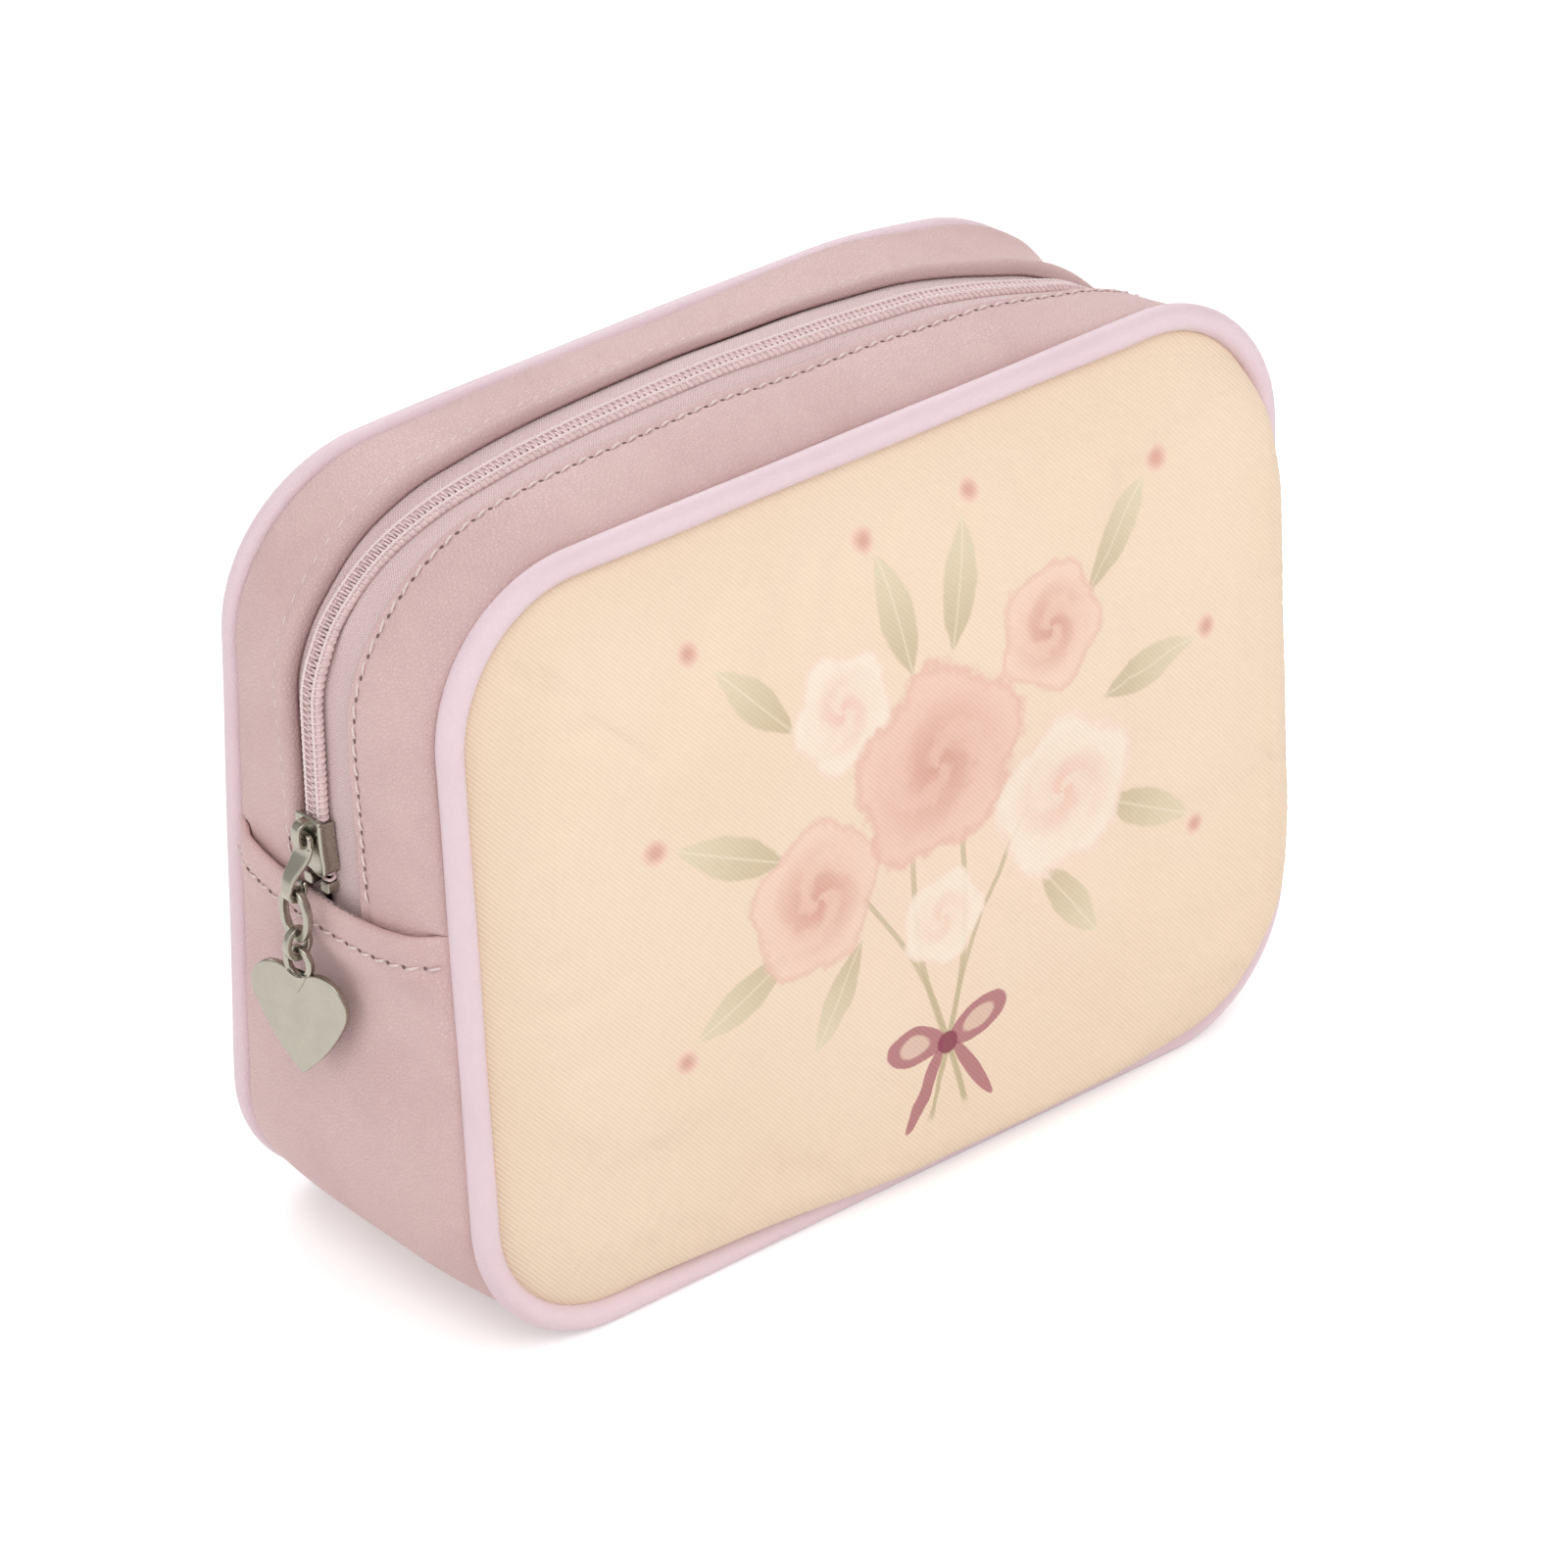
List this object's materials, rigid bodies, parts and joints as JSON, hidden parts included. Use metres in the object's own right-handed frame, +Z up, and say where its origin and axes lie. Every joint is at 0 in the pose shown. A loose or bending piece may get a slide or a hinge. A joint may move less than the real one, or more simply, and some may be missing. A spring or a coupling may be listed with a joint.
{
  "type": "toiletry bag",
  "caption": "Upright padded toiletry bag with piped panels, a two-part gusset zipped over the top, and a heart charm on the zip puller.",
  "frame": {"origin": "centre of the flat underside, on the ground", "axes": "+Z up, -Y out of the front panel, X along the bag's width with the zip's slider on -X"},
  "size_m": [0.2276, 0.0846, 0.1732],
  "materials": {
    "pink_leather": "soft grained dusty pink leather",
    "panel_twill": "matt peach twill",
    "piping_leather": "smooth pale pink leather",
    "cord_fibre": "twisted fibre",
    "foam": "soft foam padding",
    "lining_cloth": "plain woven lining",
    "binding_cloth": "plain woven tape",
    "tape_cloth": "woven zip tape",
    "coil_nylon": "satin nylon",
    "board_plastic": "plain board",
    "nickel": "polished warm nickel plate"
  },
  "bodies": {
    "bag": {"back_gusset_lining": "lining_cloth", "back_gusset_strip": "pink_leather", "back_lining": "lining_cloth", "back_padding": "foam", "back_panel": "pink_leather", "back_piping_cord": "cord_fibre", "back_piping_cover": "piping_leather", "back_seam_binding": "binding_cloth", "back_top_stop": "nickel", "back_zip_coil": "coil_nylon", "back_zip_tape": "tape_cloth", "base_gusset": "pink_leather", "base_lining": "lining_cloth", "base_stiffener": "board_plastic", "bottom_stop": "nickel", "front_gusset_lining": "lining_cloth", "front_gusset_strip": "pink_leather", "front_lining": "lining_cloth", "front_padding": "foam", "front_panel": "panel_twill", "front_piping_cord": "cord_fibre", "front_piping_cover": "piping_leather", "front_seam_binding": "binding_cloth", "front_top_stop": "nickel", "front_zip_coil": "coil_nylon", "front_zip_tape": "tape_cloth"},
    "slider": {"slider_body": "nickel"},
    "puller": {"puller": "nickel"},
    "ring": {"pull_ring": "nickel"},
    "link": {"connector_link": "nickel"},
    "charm": {"heart_charm": "nickel"}
  },
  "joints": [
    {"name": "zip_slide", "type": "slide", "parent": "bag", "child": "slider", "axis": [0, 0, 1], "range_m": [0, 0.023], "deforming": ["front_zip_coil", "back_zip_coil", "front_zip_tape", "back_zip_tape"]},
    {"name": "puller_flip", "type": "hinge", "parent": "slider", "child": "puller", "pos_m": [-0.11135, 0.002, 0.1061], "axis": [0, 1, 0], "range_deg": [0, 140]},
    {"name": "ring_swing", "type": "hinge", "parent": "puller", "child": "ring", "pos_m": [-0.114, 0.002, 0.0949], "axis": [0, 1, 0], "range_deg": [-1, 25]},
    {"name": "link_swing", "type": "hinge", "parent": "ring", "child": "link", "pos_m": [-0.114, 0.002, 0.0845], "axis": [0, 1, 0], "range_deg": [-1, 15]},
    {"name": "charm_swing", "type": "hinge", "parent": "link", "child": "charm", "pos_m": [-0.114, 0.002, 0.08017], "axis": [1, 0, 0], "range_deg": [-35, 35]}
  ]
}
